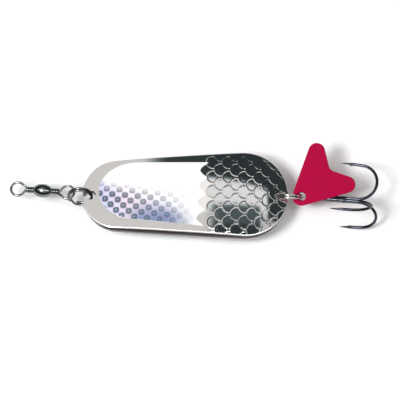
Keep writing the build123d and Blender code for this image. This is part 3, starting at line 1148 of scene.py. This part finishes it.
def makeTag():
    place = (
        tailFrame
        @ Matrix.Translation((tail["tagShift"], 0, tail["tagLift"]))
        @ Matrix.Rotation(math.radians(tail["tagTurn"]), 4, "Z")
    )
    work = bmesh.new()
    edges = []
    for loop in (tagOutline(), arcPoints((0, 0), tag["hole"], 0, 2 * math.pi, 48)[:-1]):
        corners = [work.verts.new((x, y, 0)) for x, y in loop]
        edges += [work.edges.new((a, b)) for a, b in zip(corners, corners[1:] + corners[:1])]
    bmesh.ops.triangle_fill(work, use_beauty=True, edges=edges)
    mesh = bpy.data.meshes.new("tailTag")
    work.to_mesh(mesh)
    work.free()
    piece = bpy.data.objects.new("tailTag", mesh)
    scene.collection.objects.link(piece)
    mesh.materials.append(tagPlastic)
    wall = piece.modifiers.new("wall", "SOLIDIFY")
    wall.thickness = tag["thickness"]
    wall.offset = 0
    bevel = piece.modifiers.new("edge", "BEVEL")
    bevel.width = tag["edge"]
    bevel.segments = 3
    bevel.limit_method = "ANGLE"
    bevel.angle_limit = math.radians(60)
    settle(piece, 50)
    piece.data.transform(place)
    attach(piece, "tag")
    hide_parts("tail_tag")


makeTag()
print("tag made")


# ---- floor, lights and the studio round it
studio = {
    "floor": (0.965, 0.97, 0.975),
    "gap": 0.0005,
    "room": 0.70,  # soft white room
    "flag": 0.045,  # dark flags over the tail end
    "greyBand": 0.08,
    "panel": 1.05,  # bright panel between the flags
    "horizon": 0.06,
}
low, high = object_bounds()
floorVerts = [(x, y, low.z - studio["gap"]) for x, y in ((-3, -3), (3, -3), (3, 3), (-3, 3))]
floorMaterial, floorTree, floorShader = newMaterial("paleFloor", Roughness=0.9)
speck = noise(floorTree, objectPoint(floorTree), 40, 2)
tone = mixColour(floorTree, speck, tuple(c * 0.985 for c in studio["floor"]), studio["floor"])
floorTree.links.new(tone, floorShader.inputs["Base Color"])
floor = meshPiece("floor", floorVerts, [(0, 1, 2, 3)], [floorMaterial])


def makeWorld():
    world = bpy.data.worlds.new("studio")
    scene.world = world
    world.use_nodes = True
    tree = world.node_tree
    place = tree.nodes.new("ShaderNodeTexCoord")
    split = tree.nodes.new("ShaderNodeSeparateXYZ")
    tree.links.new(place.outputs["Generated"], split.inputs[0])
    up = nodeMath(tree, "MAXIMUM", split.outputs[2], 0.02)
    east = nodeMath(tree, "DIVIDE", split.outputs[0], up)
    north = nodeMath(tree, "DIVIDE", split.outputs[1], up)

    def between(value, low, high, soft=0.016):
        rise = smoothStep(tree, value, low - soft, low + soft)
        fall = smoothStep(tree, value, high + soft, high - soft)
        return nodeMath(tree, "MULTIPLY", rise, fall)

    northLevelled = nodeMath(tree, "MULTIPLY_ADD", east, 0.17, north)
    farFlag = nodeMath(tree, "MULTIPLY", between(east, -0.07, 1.6, 0.05), between(northLevelled, 0.41, 0.85))
    nearFlag = nodeMath(tree, "MULTIPLY", between(east, 0.035, 0.30, 0.015), between(north, 0.02, 0.245))
    endFlag = nodeMath(tree, "MULTIPLY", between(east, 0.36, 0.8), between(north, 0.16, 0.5))
    flags = nodeMath(tree, "MAXIMUM", farFlag, nodeMath(tree, "MAXIMUM", nearFlag, endFlag))
    panel = nodeMath(tree, "MULTIPLY", between(east, 0.0, 0.40), between(north, 0.20, 0.44))
    light = nodeMath(tree, "MULTIPLY_ADD", panel, studio["panel"] - studio["room"], studio["room"])
    light = nodeMath(tree, "MULTIPLY", light, nodeMath(tree, "SUBTRACT", 1.0, flags))
    light = nodeMath(tree, "MULTIPLY_ADD", flags, studio["flag"], light)
    greyBand = nodeMath(tree, "MULTIPLY", nearFlag, between(north, 0.13, 0.3))
    light = nodeMath(tree, "MULTIPLY_ADD", greyBand, studio["greyBand"], light)
    # the room darkens towards the horizon
    height = smoothStep(tree, split.outputs[2], 0.60, 0.80)
    light = nodeMath(tree, "MULTIPLY", light, height)
    low = nodeMath(tree, "MULTIPLY", nodeMath(tree, "SUBTRACT", 1.0, height), studio["horizon"])
    light = nodeMath(tree, "ADD", light, low)
    background = tree.nodes["Background"]
    colour = mixColour(tree, flags, (1.0, 0.985, 0.97), (0.80, 1.0, 1.06))
    tree.links.new(colour, background.inputs["Color"])
    tree.links.new(light, background.inputs["Strength"])


makeWorld()
scene.view_settings.view_transform = "Standard"


def addLight(name, at, size, power, sizeY=None):
    data = bpy.data.lights.new(name, "AREA")
    data.shape = "RECTANGLE"
    data.size = size
    data.size_y = sizeY or size
    data.energy = power
    light = bpy.data.objects.new(name, data)
    scene.collection.objects.link(light)
    light.location = Vector(at)
    light.rotation_euler = (view["aim"] - Vector(at)).to_track_quat("-Z", "Y").to_euler()
    return light


addLight("keySoft", (-0.34, -0.28, 1.0), 0.26, 8.0)
addLight("topStrip", (0.05, -0.09, 1.0), 2.4, 4.8, 0.15)
print("studio set")
